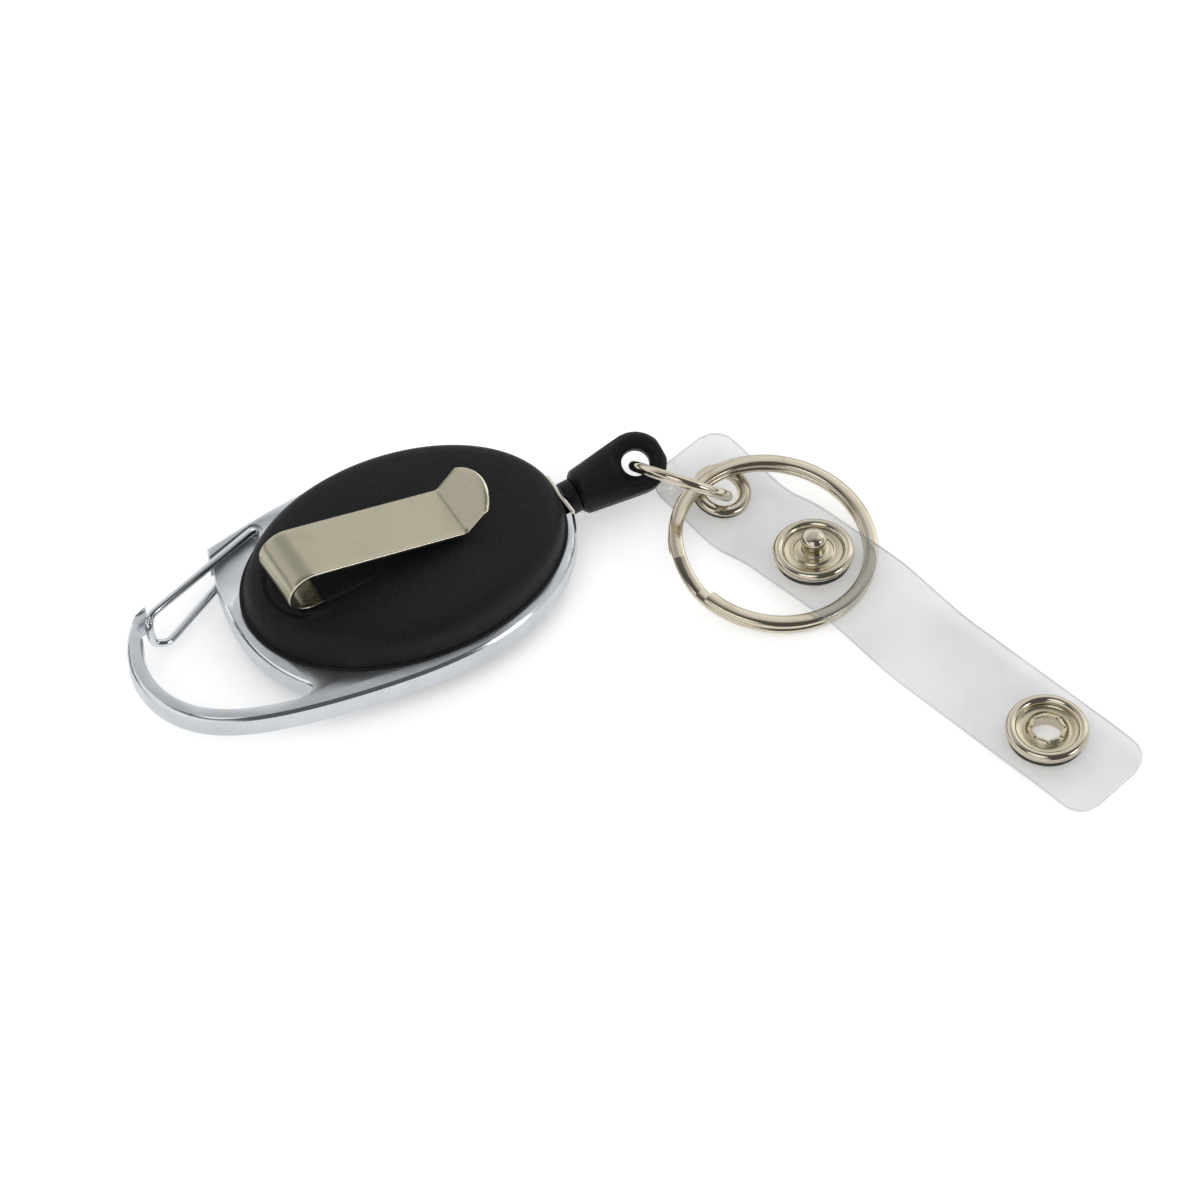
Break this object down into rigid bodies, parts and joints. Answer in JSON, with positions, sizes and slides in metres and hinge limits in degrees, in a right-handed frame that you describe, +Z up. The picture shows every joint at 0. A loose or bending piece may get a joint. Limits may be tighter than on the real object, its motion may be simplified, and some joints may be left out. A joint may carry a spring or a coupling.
{
  "type": "belt key clip",
  "caption": "Oval carabiner key reel with a sprung wire gate and a belt clip; its cord ends in an eye with rings and a clear snap strap.",
  "frame": {"origin": "on the spool axis, on the flat front face that lies on the ground", "axes": "+X along the long axis of the oval frame, the way the cord leaves; +Z up through the rear shell to the belt clip"},
  "size_m": [0.1072, 0.0925, 0.0176],
  "materials": {
    "frame_chrome": "bright chrome plate on a zinc casting and on wire",
    "case_black": "fine textured black moulding",
    "clip_nickel": "satin nickel on spring steel",
    "nickel": "warm bright nickel",
    "zinc": "plain zinc",
    "spool_plastic": "plain acetal",
    "spring_steel": "blued strip",
    "cord_black": "braided nylon",
    "clear_vinyl": "clear soft vinyl film"
  },
  "bodies": {
    "case": {"frame": "frame_chrome", "exit_guide": "nickel", "front_shell": "case_black", "rear_shell": "case_black", "center_post": "zinc", "clip_base": "clip_nickel", "cord_lead": "cord_black"},
    "clip": {"clip_blade": "clip_nickel"},
    "gate": {"gate": "frame_chrome"},
    "reel": {"spool": "spool_plastic", "spool_cap": "zinc", "power_spring": "spring_steel", "wound_cord": "cord_black"},
    "cord_tip": {"cord_end": "cord_black", "neck": "case_black"},
    "fitting": {"end_fitting": "case_black"},
    "link": {"small_ring": "nickel"},
    "ring": {"key_ring": "nickel"},
    "strap": {"strap_tab_part": "clear_vinyl", "eyelet": "nickel", "eyelet_back": "nickel", "snap_stud": "nickel", "stud_back": "nickel"},
    "strap_tail": {"strap_tail_part": "clear_vinyl", "snap_socket": "nickel", "socket_back": "nickel"}
  },
  "joints": [
    {"name": "clip_flex", "type": "hinge", "parent": "case", "child": "clip", "pos_m": [-0.0187, 0, 0.01435], "axis": [0, -1, 0], "range_deg": [0, 9], "stiffness_Nm_per_rad": 1, "springref_deg": -1.15},
    {"name": "gate_swing", "type": "hinge", "parent": "case", "child": "gate", "pos_m": [-0.0146, 0.0146, 0.0049], "axis": [0, 0, 1], "range_deg": [0, 18], "stiffness_Nm_per_rad": 0.02, "springref_deg": -11.46},
    {"name": "cord_pull", "type": "slide", "parent": "case", "child": "cord_tip", "axis": [1, 0, 0], "range_m": [0, 0.6], "stiffness_N_per_m": 0.6, "springref_m": -1.5},
    {"name": "spool_spin", "type": "hinge", "parent": "case", "child": "reel", "pos_m": [0, 0, 0.0049], "axis": [0, 0, 1], "range_deg": [-2990, 0]},
    {"name": "fitting_swivel", "type": "hinge", "parent": "cord_tip", "child": "fitting", "pos_m": [0.02568, -0.00008, 0.00518], "axis": [0.9867, -0.0431, 0.1564], "continuous": true},
    {"name": "link_swing", "type": "hinge", "parent": "fitting", "child": "link", "pos_m": [0.03466, -0.00047, 0.0066], "axis": [-0.1605, -0.4001, 0.9023], "range_deg": [-15, 15]},
    {"name": "ring_turn", "type": "hinge", "parent": "link", "child": "ring", "pos_m": [0.04501, -0.01885, 0.00291], "axis": [0.052, -0.1197, 0.9914], "continuous": true},
    {"name": "strap_yaw", "type": "hinge", "parent": "link", "child": "strap", "pos_m": [0.04411, -0.0072, 0.0021], "axis": [0, 0, 1], "range_deg": [-5, 1.5]},
    {"name": "strap_fold", "type": "hinge", "parent": "strap", "child": "strap_tail", "pos_m": [0.05386, -0.04284, 0.0032], "axis": [-0.9646, -0.2639, 0], "range_deg": [0, 165]}
  ],
  "couplings": [
    {"joint": "spool_spin", "follows": "cord_pull", "rad_per_m": -86.58}
  ]
}
